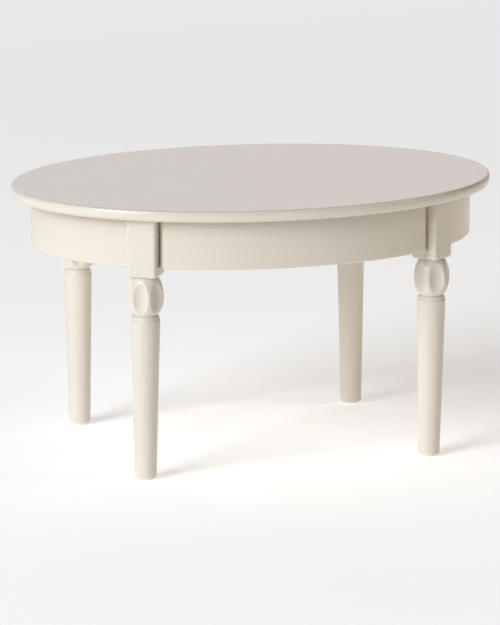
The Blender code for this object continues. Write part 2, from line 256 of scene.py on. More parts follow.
class NodeGraph:
    """A material whose nodes are added and linked in one call each."""

    def __init__(self, name: str) -> None:
        """Start a material with its Principled shader and the object's own coordinates."""
        self.material = bpy.data.materials.new(name)
        self.material.use_nodes = True
        self.tree = self.material.node_tree
        self.shader = self.tree.nodes["Principled BSDF"]
        self.place = self.add("ShaderNodeTexCoord").outputs["Object"]

    def add(self, kind: str, inputs: dict[str | int, Value] | None = None,
            **settings: object) -> bpy.types.Node:
        """Add a node, set its properties, and set or link its inputs.

        Args:
            kind: The node's type name.
            inputs: Values or sockets by input name or number.
            **settings: Properties of the node.

        Returns:
            The new node.
        """
        node = self.tree.nodes.new(kind)
        for key, value in settings.items():
            setattr(node, key, value)
        for key, value in (inputs or {}).items():
            self.feed(node.inputs[key], value)
        return node

    def feed(self, socket: bpy.types.NodeSocket, value: Value) -> None:
        """Link a socket to another, or set it to a plain value."""
        if isinstance(value, bpy.types.NodeSocket):
            self.tree.links.new(value, socket)
        else:
            socket.default_value = value

    def stretched(self, scale: Sequence[float], turn: float = 0.0) -> bpy.types.NodeSocket:
        """The object's coordinates turned about Z, then scaled along each axis."""
        turned = self.add("ShaderNodeMapping", {"Vector": self.place, "Rotation": (0, 0, -turn)})
        return self.add("ShaderNodeMapping", {"Vector": turned.outputs[0], "Scale": scale}).outputs[0]

    def noise(self, scale: float, detail: float = 2.0, place: Value | None = None,
              roughness: float = 0.5) -> bpy.types.NodeSocket:
        """Smooth noise from about 0.25 to 0.75, with that many blobs to the metre."""
        return self.add("ShaderNodeTexNoise", {
            "Vector": self.place if place is None else place,
            "Scale": scale, "Detail": detail, "Roughness": roughness}).outputs["Fac"]

    def remap(self, value: Value, low: float, high: float, to_low: float = 0.0,
              to_high: float = 1.0) -> bpy.types.NodeSocket:
        """The value carried from one range to another, held at its ends."""
        return self.add("ShaderNodeMapRange", {
            "Value": value, "From Min": low, "From Max": high,
            "To Min": to_low, "To Max": to_high}).outputs[0]

    def sum(self, first: Value, second: Value, scale: float = 1.0) -> bpy.types.NodeSocket:
        """The second value times the scale, added to the first."""
        return self.add("ShaderNodeMath", {0: second, 1: scale, 2: first},
                        operation="MULTIPLY_ADD").outputs[0]

    def product(self, first: Value, second: Value) -> bpy.types.NodeSocket:
        """Two values multiplied."""
        return self.add("ShaderNodeMath", {0: first, 1: second}, operation="MULTIPLY").outputs[0]

    def mix(self, share: Value, first: Value, second: Value) -> bpy.types.NodeSocket:
        """A colour between two colours."""
        node = self.add("ShaderNodeMix", data_type="RGBA")
        self.feed(node.inputs["Factor"], share)
        self.feed(node.inputs[6], self.opaque(first))
        self.feed(node.inputs[7], self.opaque(second))
        return node.outputs[2]

    @staticmethod
    def opaque(colour: Value) -> Value:
        """A plain colour with an alpha of one; a socket is left as it is."""
        return colour if isinstance(colour, bpy.types.NodeSocket) else (*colour[:3], 1.0)

    def mask(self, label: str) -> bpy.types.NodeSocket:
        """A named mask that the piece carries on its points."""
        return self.add("ShaderNodeAttribute", attribute_name=label).outputs["Fac"]

    def bump(self, height: Value, depth: float, before: Value | None = None,
             strength: float = 1.0) -> bpy.types.NodeSocket:
        """A normal bent by a height from 0 to 1 that stands for a depth in metres."""
        inputs = {"Height": height, "Distance": depth, "Strength": strength}
        if before is not None:
            inputs["Normal"] = before
        return self.add("ShaderNodeBump", inputs).outputs[0]

    def dress(self, **sockets: Value) -> bpy.types.Material:
        """Feed the Principled shader's sockets, named with underscores, and return the material."""
        for key, value in sockets.items():
            self.feed(self.shader.inputs[key.replace("_", " ")], value)
        return self.material


@dataclass(frozen=True)
class CreamPaint:
    """Sprayed satin paint over sanded wood, with the grain and dust of hand work showing."""

    name: str
    slot: str
    colour: Colour = (0.800, 0.745, 0.645)
    cloud_scale: float = 48.0
    cloud_tone: float = 0.985
    speckle_scale: float = 1500.0
    speckle_share: float = 0.02
    # The colour of dust specks and nibs, and of the painted shade in hollows and corners.
    dust_and_shade: Colour = (0.480, 0.410, 0.315)
    hollow_shade_scale: float = 260.0
    hollow_shade_share: float = 0.14
    shade_share: float = 0.62
    rubbed: Colour = (0.860, 0.815, 0.735)
    rubbed_scale: float = 420.0
    rubbed_share: float = 0.30
    roughness: float = 0.25
    roughness_scale: float = 130.0
    roughness_spread: float = 0.006
    edge_dulling: float = 0.09
    peel_scale: float = 720.0
    peel_depth: float = 0.0012 * MM
    grain_scale: tuple[float, float, float] = (60.0, 900.0, 900.0)
    grain_depth: float = 0.0008 * MM
    nib_scale: float = 260.0
    nib_depth: float = 0.012 * MM
    nib_tint: float = 0.14
    nib_share: float = 0.10

    def nibs(self, graph: NodeGraph) -> bpy.types.NodeSocket:
        """Sparse dust specks: the middles of a few cells of a Voronoi pattern 4 mm across.

        Args:
            graph: The material being built.

        Returns:
            A mask that is 1 in a speck and 0 round it.
        """
        cells = graph.add("ShaderNodeTexVoronoi", {"Vector": graph.place, "Scale": self.nib_scale})
        chosen = graph.add("ShaderNodeMath", {0: cells.outputs["Color"], 1: self.nib_share},
                           operation="LESS_THAN").outputs[0]
        spot = graph.remap(cells.outputs["Distance"], 0.03, 0.10, 1.0, 0.0)
        return graph.product(chosen, spot)

    def build(self) -> bpy.types.Material:
        """Make the paint: clouds of tone, painted shade in hollows with darker joint lines, painted
        shade below the rim and beside the posts, rubbed edges and nibs.

        Returns:
            The finished material.
        """
        graph = NodeGraph(self.name)
        tone = graph.remap(graph.noise(self.cloud_scale, 4.0), 0.3, 0.7)
        speckle = graph.remap(graph.noise(self.speckle_scale, 3.0), 0.35, 0.65)
        darker = tuple(self.cloud_tone * channel for channel in self.colour)
        body = graph.mix(tone, darker, self.colour)
        body = graph.mix(graph.product(speckle, self.speckle_share), body, self.dust_and_shade)
        nibs = self.nibs(graph)
        body = graph.mix(graph.product(nibs, self.nib_tint), body, self.dust_and_shade)
        # Painted shade, patchy: scoops, necks and the grooves by the posts darken towards the
        # dust-and-shade colour, and joint lines darken the same way.
        patchy = graph.remap(graph.noise(self.hollow_shade_scale), 0.2, 0.8, 0.7, 1.0)
        hollow_shade_and_joint = graph.product(graph.mask("hollow_shade_and_joint"), patchy)
        body = graph.mix(graph.product(hollow_shade_and_joint, self.hollow_shade_share), body, self.dust_and_shade)
        # Painted shade: darker under the board's rim, low on the rim and beside the posts.
        shade = graph.product(graph.mask("shade"), self.shade_share)
        body = graph.mix(shade, body, self.dust_and_shade)
        edge = graph.mask("edge")
        worn = graph.product(edge, graph.remap(graph.noise(self.rubbed_scale, 4.0), 0.42, 0.62))
        body = graph.mix(graph.product(worn, self.rubbed_share), body, self.rubbed)

        grain = graph.noise(1.0, 3.0, graph.stretched(self.grain_scale))
        peel = graph.noise(self.peel_scale, 2.0)
        normal = graph.bump(grain, self.grain_depth)
        normal = graph.bump(peel, self.peel_depth, normal)
        normal = graph.bump(nibs, self.nib_depth, normal)
        satin = graph.remap(graph.noise(self.roughness_scale, 3.0), 0.3, 0.7,
                            self.roughness - self.roughness_spread,
                            self.roughness + self.roughness_spread)
        satin = graph.sum(satin, edge, self.edge_dulling)
        return graph.dress(Base_Color=body, Roughness=satin, Normal=normal, IOR=1.5)


@dataclass(frozen=True)
class SawnWood:
    """Bare wood: growth rings and pores drawn out along the grain, with saw marks across it."""

    name: str
    slot: str
    light: Colour = (0.66, 0.50, 0.31)
    dark: Colour = (0.44, 0.29, 0.15)
    turn: float = 0.0
    ring_scale: tuple[float, float, float] = (28.0, 420.0, 420.0)
    pore_scale: tuple[float, float, float] = (260.0, 4200.0, 4200.0)
    pore_depth: float = 0.02 * MM
    saw_scale: tuple[float, float, float] = (2400.0, 90.0, 90.0)
    saw_depth: float = 0.012 * MM
    roughness: float = 0.62

    def build(self) -> bpy.types.Material:
        """Make the wood with its grain along X, once turned by the piece's own angle.

        Returns:
            The finished material.
        """
        graph = NodeGraph(self.name)
        rings = graph.noise(1.0, 4.0, graph.stretched(self.ring_scale, self.turn), 0.6)
        pores = graph.noise(1.0, 2.0, graph.stretched(self.pore_scale, self.turn))
        saw = graph.noise(1.0, 1.0, graph.stretched(self.saw_scale, self.turn))
        body = graph.mix(graph.remap(rings, 0.36, 0.62), self.dark, self.light)
        body = graph.mix(graph.remap(pores, 0.62, 0.74, 0.0, 0.5), body, self.dark)
        normal = graph.bump(saw, self.saw_depth)
        normal = graph.bump(pores, self.pore_depth, normal)
        dry = graph.remap(rings, 0.3, 0.7, self.roughness + 0.08, self.roughness - 0.06)
        return graph.dress(Base_Color=body, Roughness=dry, Normal=normal)


@dataclass(frozen=True)
class ZincPlate:
    """Bright zinc on steel, clouded and lightly scratched."""

    name: str
    slot: str
    colour: Colour = (0.62, 0.61, 0.57)
    stain: Colour = (0.46, 0.42, 0.34)
    stain_scale: float = 700.0
    scratch_scale: tuple[float, float, float] = (300.0, 7000.0, 700.0)
    scratch_turn: float = 0.6
    scratch_depth: float = 0.004 * MM

    def build(self) -> bpy.types.Material:
        """Make the plating, with a clouded passivated stain and fine scratches.

        Returns:
            The finished material.
        """
        graph = NodeGraph(self.name)
        cloud = graph.remap(graph.noise(self.stain_scale, 4.0), 0.42, 0.68)
        scratch = graph.noise(1.0, 2.0, graph.stretched(self.scratch_scale, self.scratch_turn))
        body = graph.mix(cloud, self.colour, self.stain)
        rough = graph.remap(scratch, 0.3, 0.7, 0.24, 0.46)
        normal = graph.bump(scratch, self.scratch_depth)
        return graph.dress(Base_Color=body, Roughness=rough, Normal=normal, Metallic=1.0)


Finish = Union[CreamPaint, SawnWood, ZincPlate]

TOP_PAINT = CreamPaint("top_paint", "top_paint", nib_share=0.16, grain_scale=(70.0, 1100.0, 1100.0))
FRAME_PAINT = CreamPaint("frame_paint", "frame_paint", nib_share=0.05)
LEG_PAINT = CreamPaint("leg_paint", "leg_paint", nib_share=0.04, grain_scale=(40.0, 40.0, 1700.0))
DOWEL_WOOD = SawnWood("dowel_wood", "dowel_wood", light=(0.70, 0.53, 0.33), dark=(0.52, 0.36, 0.20))
SCREW_ZINC = ZincPlate("screw_zinc", "screw_zinc")


class Wardrobe:
    """Builds each finish once and puts it on pieces."""

    def __init__(self) -> None:
        """Start with nothing built."""
        self.built: dict[str, bpy.types.Material] = {}

    def material(self, finish: Finish) -> bpy.types.Material:
        """The finish's material, made the first time it is asked for."""
        if finish.name not in self.built:
            self.built[finish.name] = finish.build()
        return self.built[finish.name]

    def new_piece(self, piece: bpy.types.Object, finish: Finish, node: str) -> None:
        """Dress a new piece that stands for a node and goes where the table goes.

        Args:
            piece: The new object.
            finish: What it is finished in.
            node: The node that it stands for.
        """
        piece.data.materials.append(self.material(finish))
        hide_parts(node)
        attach(piece, "root")
        log.info("%s: %d faces in %s", piece.name, len(piece.data.polygons), finish.name)

    def kept_node(self, node: str, finish: Finish) -> None:
        """Put a finish on a node whose own shape is kept."""
        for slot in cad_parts[node].material_slots:
            slot.material = self.material(finish)
        log.info("%s: kept, in %s", node, finish.name)


# ------------------------------------------------------------------ the table's pieces

@dataclass
class Tabletop:
    """The oval board, its rim tightly rounded above and drawn well in below."""

    table: TableFrame
    rim_waist: float = 0.57
    upper_depth: float = 0.75 * MM
    lower_depth: float = 1.10 * MM
    columns: int = 420
    face_rings: int = 26
    rim_rings: int = 28
    inner_share: float = 0.02
    sag: float = 0.012 * MM
    wave_x: float = 21 * MM
    wave_y: float = 17 * MM
    edge_roll: float = 0.62
    edge_spread: float = 0.42
    shade_roll: float = 1.9
    shade_span: float = 1.2
    shade: float = 0.55

    def build(self, wardrobe: Wardrobe) -> None:
        """Lay rings from the face's middle out to the rim, round it and back underneath.

        The rim is two quarter ellipses that meet at its widest level, its waist: inset is depth
        times (1 - sin k), and height is the waist plus reach times cos k, for k from 0 at the
        face to pi underneath. Inside it, rings shrink to the middle. The face dips by less than
        a sprayed coat varies: sag times (2 - cos of a slow wave in x - cos of one in y).

        Args:
            wardrobe: Where the finish comes from.
        """
        oval, thickness = self.table.top_oval, self.table.top - self.table.underside
        angle = np.linspace(0.0, TAU, self.columns, endpoint=False)
        turn = np.linspace(0.0, math.pi, self.rim_rings)
        share_in = np.linspace(self.inner_share, 1.0, self.face_rings)[:-1]
        share = np.concatenate([share_in, np.ones(self.rim_rings), share_in[::-1]])
        roll = np.concatenate([np.zeros(len(share_in)), turn, np.full(len(share_in), math.pi)])
        above = roll < QUARTER
        depth = np.where(above, self.upper_depth, self.lower_depth)
        reach = thickness * np.where(above, 1.0 - self.rim_waist, self.rim_waist)
        inset = depth * (1.0 - np.sin(roll))
        plan = oval.place(angle[None, :], inset[:, None]) * share[:, None, None]
        height = self.table.underside + thickness * self.rim_waist + reach * np.cos(roll)
        wave = 2.0 - np.cos(plan[..., 0] / self.wave_x + 0.6) - np.cos(plan[..., 1] / self.wave_y)
        dip = self.sag * wave * (ease((1.0 - share) / 0.1) * (roll == 0.0))[:, None]
        edge = np.exp(-((roll - self.edge_roll) / self.edge_spread) ** 2) * (share == 1.0)
        # Painted shade: the rim darkens as it turns under the board.
        shade = self.shade * ease((roll - self.shade_roll) / self.shade_span)
        piece = grid_object("painted_tabletop", lift(plan, height[:, None] - dip),
                            {"edge": edge[:, None], "shade": shade[:, None]})
        wardrobe.new_piece(piece, TOP_PAINT, "tabletop")


@dataclass
class ApronRail:
    """A curved rail between two posts, rounded where its outer face turns in at each end."""

    table: TableFrame
    side: str
    long_rail: bool
    corner: Corner
    long_end_radius: float = 2.8 * MM
    short_end_radius: float = 0.8 * MM
    lower_end_radius: float = 0.9 * MM
    lower_end_height: float = 2.0 * MM
    edge_radius: float = 0.55 * MM
    bite: float = 1.3 * MM
    shade_reach: float = 3.6 * MM
    end_shade: float = 0.4
    end_shade_reach: float = 1.3 * MM
    groove_reach: float = 0.7 * MM
    worn_height: float = 0.7 * MM
    worn: float = 0.3
    end_steps: int = 16
    middle_steps: int = 90
    flat_steps: int = 14
    search_steps: int = 2000

    @property
    def end_radius(self) -> float:
        """The round of the rail's outer corner: wide on the long rails, small on the end rails."""
        return self.long_end_radius if self.long_rail else self.short_end_radius

    def stations(self) -> tuple[Array, Array]:
        """Where the sections stand: oval angles, and each one's distance from the post's face.

        A section's distance is its outer point's projection along the rail, less the post's
        face. Near the end the distances crowd as 1 - cos k, so that the round end is smooth.

        Returns:
            The angles from one end to the other, and the distances.
        """
        place = self.table.corner(self.corner)
        along = place.along if self.long_rail else -place.along
        sign_x, sign_y = self.corner.value
        middle = sign_y * QUARTER if self.long_rail else (0.0 if sign_x > 0 else sign_y * TAU / 2)
        beside = math.atan2(place.centre[1] / self.table.apron_oval.semi_y,
                            place.centre[0] / self.table.apron_oval.semi_x)
        angles = np.linspace(beside, middle, self.search_steps)
        reach = self.table.apron_oval.place(angles) @ along - place.centre @ along - POST_HALF
        turn = np.linspace(0.0, QUARTER, self.end_steps)
        near = self.end_radius * (1.0 - np.cos(turn))
        far = np.linspace(self.end_radius, reach[-1], self.middle_steps)[1:]
        distance = np.concatenate([[-self.bite], near, far])
        half = np.interp(distance, reach, angles)
        both = np.concatenate([half, (2 * middle - half)[-2::-1]])
        return both, np.concatenate([distance, distance[-2::-1]])

    def section(self) -> tuple[Array, Array]:
        """The rail's upright section as a loop: inset from the outer face, and height.

        A rounded rectangle, its top a hair inside the board so that no light shows between.

        Returns:
            Insets and heights round the loop.
        """
        height = self.table.underside + TUCK - self.table.rail_bottom
        loop = rounded_loop(RAIL_WALL / 2, height / 2, self.edge_radius, np.zeros(1), self.flat_steps)[0]
        return loop[:, 0] + RAIL_WALL / 2, loop[:, 1] + height / 2

    def build(self, wardrobe: Wardrobe) -> None:
        """Carry the section along the oval, drawing it in over the last stretch at each end.

        A section at distance x from the post is drawn in by R - sqrt(R^2 - (R - x)^2): its outer
        face by the end radius, and its lower edge upwards by the smaller lower radius. The masks
        fall away as exp(-distance / reach) from the board above and from the posts.

        Args:
            wardrobe: Where the finish comes from.
        """
        angle, distance = self.stations()
        inset, height = self.section()

        def drawn(radius: float) -> Array:
            """How far a quarter round of that radius has fallen back at each station."""
            short = np.clip(radius - distance, 0.0, radius)
            return radius - np.sqrt(radius ** 2 - short ** 2)

        outer_share = 1.0 - inset / RAIL_WALL
        low_share = np.clip(1.0 - height / self.lower_end_height, 0.0, 1.0)
        deep = inset[None] + drawn(self.end_radius)[:, None] * outer_share[None]
        tall = height[None] + drawn(self.lower_end_radius)[:, None] * low_share[None]
        plan = self.table.apron_oval.place(angle[:, None], deep)
        clear = np.clip(distance, 0.0, None)[:, None]
        # Painted shade: darker in the groove at each post, under the board, and at the long rails' ends.
        close = np.exp(-clear / self.groove_reach)
        rim = np.exp(-(height / self.worn_height) ** 2)[None] * (1 - close)
        shade = np.exp(-(height.max() - height) / self.shade_reach)[None] * (1 - 0.6 * close)
        if self.long_rail:
            shade = np.maximum(shade, self.end_shade * np.exp(-clear / self.end_shade_reach))
        piece = grid_object(f"painted_{self.side}_rail", lift(plan, tall + self.table.rail_bottom),
                            {"edge": self.worn * rim, "hollow_shade_and_joint": close, "shade": shade})
        wardrobe.new_piece(piece, FRAME_PAINT, f"{self.side}_rail")


@dataclass
class CornerPost:
    """A square block between two rails, its upright edges and foot softly eased."""

    table: TableFrame
    corner: Corner
    drop: float
    edge_radius: float = 0.9 * MM
    foot_rise: float = 1.0 * MM
    foot_inset: float = 1.5 * MM
    rim_shade: float = 0.7
    rim_shade_reach: float = 2.6 * MM
    side_shade: float = 0.5
    side_shade_span: float = 2.5 * MM
    worn_width: float = 0.7 * MM
    foot_wear: float = 0.6
    seam_reach: float = 0.25 * MM
    rows: int = 24
    foot_steps: int = 8

    def build(self, wardrobe: Wardrobe) -> None:
        """Stack rounded squares from the board down, drawn in round a quarter ellipse at the foot.

        Args:
            wardrobe: Where the finish comes from.
        """
        place = self.table.corner(self.corner)
        turn = np.linspace(0.0, QUARTER, self.foot_steps + 1)[1:]
        bottom = self.table.post_bottom - self.drop
        straight = np.linspace(self.table.underside + TUCK, bottom + self.foot_rise, self.rows)
        height = np.concatenate([straight, bottom + self.foot_rise * (1.0 - np.sin(turn))])
        inset = np.concatenate([np.zeros(self.rows), self.foot_inset * (1.0 - np.cos(turn))])
        loop = rounded_loop(POST_HALF, POST_HALF, self.edge_radius, inset)
        plan = place.centre + loop[..., :1] * place.outward + loop[..., 1:] * place.along
        bow = np.abs(np.abs(loop[..., 0]) - np.abs(loop[..., 1]))
        edge = np.exp(-(bow / self.worn_width) ** 2)
        edge = edge + self.foot_wear * (inset / self.foot_inset)[:, None]
        # Painted shade: darker under the board and on the sides beside the rails. The hollow mask
        # darkens the joint line at the foot.
        under_rim = np.exp(-(height[0] - height) / self.rim_shade_reach)[:, None]
        on_side = np.abs(loop[..., 1]) > POST_HALF - self.foot_inset
        beside_rail = ease((POST_HALF - loop[..., 0]) / self.side_shade_span) * on_side
        shade = np.maximum(self.rim_shade * under_rim, self.side_shade * beside_rail)
        seam = np.exp(-((height - bottom) / self.seam_reach) ** 2)
        piece = grid_object(
            f"painted_{self.corner.label}_post", lift(plan, height[:, None]),
            {"edge": np.clip(edge, 0, 1), "hollow_shade_and_joint": seam[:, None], "shade": shade})
        wardrobe.new_piece(piece, FRAME_PAINT, self.corner.label + "_post")


@dataclass
class TurnedLeg:
    """A lathe-turned leg with a scooped bulb, sharp neck, shoulder and tapered shaft."""

    table: TableFrame
    corner: Corner
    turn_degrees: float
    lean: tuple[float, float]
    drop: float
    bulb_radius: float = 5.95 * MM
    bulb_middle: float = 59.2 * MM
    bulb_upper_reach: float = 8.75 * MM
    neck_height: float = 53.4 * MM
    neck_radius: float = 3.75 * MM
    shoulder_height: float = 52.45 * MM
    shoulder_radius: float = 4.42 * MM
    crease: float = 0.14 * MM
    shaft_top: float = 51.7 * MM
    shaft_top_radius: float = 4.62 * MM
    foot_radius: float = 3.56 * MM
    foot_round: float = 1.3 * MM
    scoops: int = 6
    scoop_depth: float = 1.45 * MM
    scoop_round: float = 4.0 * MM
    scoop_half_length: float = 15.0 * MM
    scoop_height: float = 59.5 * MM
    rim_softness: float = 0.13 * MM
    blend_reach: float = 12.0
    worn_reach: float = 2.5
    neck_line: float = 0.3 * MM
    fine_line: float = 0.35 * MM
    foot_line: float = 0.5 * MM
    paint_step: float = 0.02 * MM
    paint_steps: int = 9
    arc_steps: int = 80
    turnings_bottom: float = 50.0 * MM
    turnings_rows: int = 170
    shaft_rows: int = 40
    foot_top: float = 1.6 * MM
    foot_rows: int = 22
    columns: int = 240

    def profile(self) -> tuple[Array, Array]:
        """The turned outline from the top of the bulb to the sole, softened like thick paint.

        The bulb is two quarter ellipses that share its widest radius. Below it come the neck, a
        bead that is a quarter ellipse too, a fine crease, the shaft's rounded top edge, its
        straight taper and a quarter round at the foot.
        The outline is walked in fine even steps and averaged over a short window, which rounds
        each break a little, then read off closely at the turnings and widely down the shaft.

        Returns:
            Radii and heights.
        """
        top = self.table.post_bottom - self.drop
        start = math.asin((top - self.bulb_middle) / self.bulb_upper_reach)
        upper = np.linspace(start, 0.0, self.arc_steps)
        end = math.acos(self.neck_radius / self.bulb_radius)
        lower = np.linspace(0.0, end, self.arc_steps)[1:]
        lower_reach = (self.bulb_middle - self.neck_height) / math.sin(end)
        quarter = np.linspace(0.0, QUARTER, 12)[1:]
        bead_r = self.neck_radius + np.sin(quarter) * (self.shoulder_radius - self.neck_radius)
        bead_z = self.shoulder_height + np.cos(quarter) * (self.neck_height - self.shoulder_height)
        crease_r = self.shoulder_radius - self.crease
        crease_z = self.shoulder_height - self.crease
        shaft_r = crease_r + np.sin(quarter) * (self.shaft_top_radius - crease_r)
        shaft_z = self.shaft_top + np.cos(quarter) * (crease_z - self.shaft_top)
        foot = np.linspace(0.0, QUARTER, 24)
        radius = np.concatenate([
            self.bulb_radius * np.cos(upper), self.bulb_radius * np.cos(lower),
            bead_r, [crease_r], shaft_r, self.foot_radius - self.foot_round * (1 - np.cos(foot))])
        height = np.concatenate([
            self.bulb_middle + self.bulb_upper_reach * np.sin(upper),
            self.bulb_middle - lower_reach * np.sin(lower),
            bead_z, [crease_z], shaft_z, self.foot_round * (1 - np.sin(foot))])

        run = np.concatenate([[0.0], np.cumsum(np.hypot(np.diff(radius), np.diff(height)))])
        fine = np.arange(0.0, run[-1], self.paint_step)
        window = np.hanning(self.paint_steps)
        window /= window.sum()
        soft = [np.convolve(np.pad(np.interp(fine, run, values), self.paint_steps // 2, "edge"),
                            window, "valid") for values in (radius, height)]
        turnings_end = fine[soft[1] > self.turnings_bottom][-1]
        foot_start = fine[soft[1] > self.foot_top][-1]
        stops = np.concatenate([np.linspace(0.0, turnings_end, self.turnings_rows)[:-1],
                                np.linspace(turnings_end, foot_start, self.shaft_rows)[:-1],
                                np.linspace(foot_start, fine[-1], self.foot_rows)])
        return np.interp(stops, fine, soft[0]), np.interp(stops, fine, soft[1])

    def scooped(self, angle: Array, height: Array) -> Array:
        """How far from the leg's axis the scoops' floors lie, or far out where there is none.

        A scoop is part of an ellipsoid whose centre stands off the axis. At a height it is a
        circle, and the ray at angle p from the scoop's middle meets it at
        d cos p - sqrt(circle radius squared - (d sin p) squared).

        Args:
            angle: Angles round the leg from its facing, on the last axis.
            height: Heights, on the first axis.

        Returns:
            The distances, as rows by columns.
        """
        pitch = TAU / self.scoops
        off = (angle + pitch / 2) % pitch - pitch / 2
        offset = self.bulb_radius - self.scoop_depth + self.scoop_round
        rise = (height - self.scoop_height) / self.scoop_half_length
        circle = self.scoop_round ** 2 * np.clip(1.0 - rise ** 2, 0.0, 1.0)
        inside = circle - (offset * np.sin(off)) ** 2
        floor = offset * np.cos(off) - np.sqrt(np.clip(inside, 0.0, None))
        return np.where(inside > 0.0, floor, 2 * self.bulb_radius)

    def build(self, wardrobe: Wardrobe) -> None:
        """Turn the profile round the leg's axis and press the scoops into the bulb.

        The radius is the smaller of the profile's and the scoops', blended over a hair's breadth
        by -k log(exp(-r1 / k) + exp(-r2 / k)), which leaves each scoop a softly painted rim. The
        two reaches count in that k. The axis leans a little: it stands off in x by one amount at
        the post and another at the foot.

        Args:
            wardrobe: Where the finish comes from.
        """
        place = self.table.corner(self.corner)
        radius, height = self.profile()
        angle = np.linspace(0.0, TAU, self.columns, endpoint=False)
        facing = math.atan2(place.outward[1], place.outward[0]) + math.radians(self.turn_degrees)
        floor = self.scooped(angle[None, :] - facing, height[:, None])
        plain = radius[:, None]
        gap = (floor - plain) / self.rim_softness
        bulb = (height > self.neck_height)[:, None]
        cut = np.minimum(plain, floor) - self.rim_softness * np.log1p(np.exp(-np.abs(gap)))
        skin = np.where(bulb & (gap < self.blend_reach), cut, plain)
        share = height / self.table.post_bottom
        axis = place.centre + np.outer(share * self.lean[0] + (1.0 - share) * self.lean[1], (1, 0))
        around = np.stack([np.cos(angle), np.sin(angle)], axis=-1)
        plan = axis[:, None] + skin[..., None] * around
        # Painted shade: the scoops and the neck are darkened through the hollow mask, along with the
        # joint line at the top.
        carved = np.clip((plain - skin) / self.scoop_depth, 0.0, 1.0)
        rim = np.exp(-(gap / self.worn_reach) ** 2) * bulb
        neck = self.line(height, self.neck_height + 0.2 * MM, self.neck_line)
        top = self.line(height, height[0], self.fine_line)
        shoulder = self.line(height, self.shoulder_height, self.fine_line)
        foot = self.line(height, self.foot_line, self.foot_line)
        piece = grid_object(
            f"painted_{self.corner.label}_leg", lift(plan, height[:, None]),
            {"edge": np.clip(0.4 * rim + shoulder + 0.8 * foot, 0, 1),
             "hollow_shade_and_joint": np.clip(0.5 * carved + 0.9 * neck + 0.9 * top, 0, 1)})
        wardrobe.new_piece(piece, LEG_PAINT, self.corner.label + "_leg")

    @staticmethod
    def line(height: Array, middle: float, width: float) -> Array:
        """A mask round one level, as a column: exp of less the squared distance over the width."""
        return np.exp(-((height - middle) / width) ** 2)[:, None]


@dataclass
class CornerBrace:
    """A sawn bar across the inside of a corner, its ends fitted to the rails' inner faces."""

    table: TableFrame
    corner: Corner
    thickness: float = 5.3 * MM
    reach: float = 24.0 * MM
    edge_radius: float = 0.35 * MM
    sink_radius: float = 2.12 * MM
    sink_depth: float = 1.3 * MM
    sink_steps: int = 60
    end_steps: int = 14
    flat_steps: int = 40
    corner_steps: int = 4
    search_steps: int = 400

    def build(self, wardrobe: Wardrobe) -> None:
        """Carry a rounded section along the bar, each fibre ending where it meets the apron.

        A fibre at depth d behind the post runs to the place where its line crosses the inner
        oval, or to the bar's own reach where that comes first. The sections crowd about the
        screw, where the underside is pressed in by the countersink.

        Args:
            wardrobe: Where the finish comes from.
        """
        place = self.table.corner(self.corner)
        height = self.table.underside + TUCK - self.table.brace_bottom
        loop = rounded_loop(self.thickness / 2, height / 2, self.edge_radius, np.zeros(1),
                            self.flat_steps, self.corner_steps)[0]
        depth = loop[:, 0] + self.thickness / 2 + POST_HALF
        rise = loop[:, 1] + height / 2 + self.table.brace_bottom
        limit = np.stack([self.fibre_end(place, depth, sign) for sign in (-1, 1)])
        hole = 1.2 * self.sink_radius / limit.min()
        outside = np.linspace(hole, 1.0, self.end_steps)[1:]
        inside = np.linspace(-hole, hole, self.sink_steps)
        share = np.concatenate([-outside[::-1], inside, outside])[:, None]
        run = share * np.where(share < 0, limit[:1], limit[1:])
        back = place.centre - depth[None, :, None] * place.outward
        plan = back + run[..., None] * place.along
        sunk = np.where(loop[:, 1] < 0.0, self.countersink(plan), 0.0)
        piece = grid_object(f"sawn_{self.corner.label}_brace", lift(plan, rise + sunk), sharp=35.0)
        turn = math.atan2(place.along[1], place.along[0])
        finish = SawnWood(f"{self.corner.label}_brace_wood", "brace_wood", turn=turn)
        wardrobe.new_piece(piece, finish, self.corner.label + "_brace")

    def countersink(self, plan: Array) -> Array:
        """The countersink's depth: its radius less the distance from the screw, up to a floor.

        Args:
            plan: Points of the bar, with x and y on the last axis.

        Returns:
            How far each point of the underside is pressed in.
        """
        away = np.linalg.norm(plan - plan_centre(self.corner.label + "_screw"), axis=-1)
        return np.clip(self.sink_radius - away, 0.0, self.sink_depth)

    def fibre_end(self, place: CornerFrame, depth: Array, sign: int) -> Array:
        """How far each fibre runs one way before it meets the rail's inner face.

        Args:
            place: The corner's frame.
            depth: Each fibre's depth behind the post's middle.
            sign: 1 towards the long rail and -1 towards the end rail.

        Returns:
            The distances along the bar.
        """
        steps = np.linspace(0.0, self.reach, self.search_steps)
        points = (place.centre - depth[:, None, None] * place.outward
                  + sign * steps[None, :, None] * place.along)
        oval = self.table.apron_oval
        inner = np.array([oval.semi_x, oval.semi_y]) - RAIL_WALL
        within = ((points / inner) ** 2).sum(axis=-1) < 1.0
        return steps[np.maximum(within.sum(axis=1) - 1, 1)]


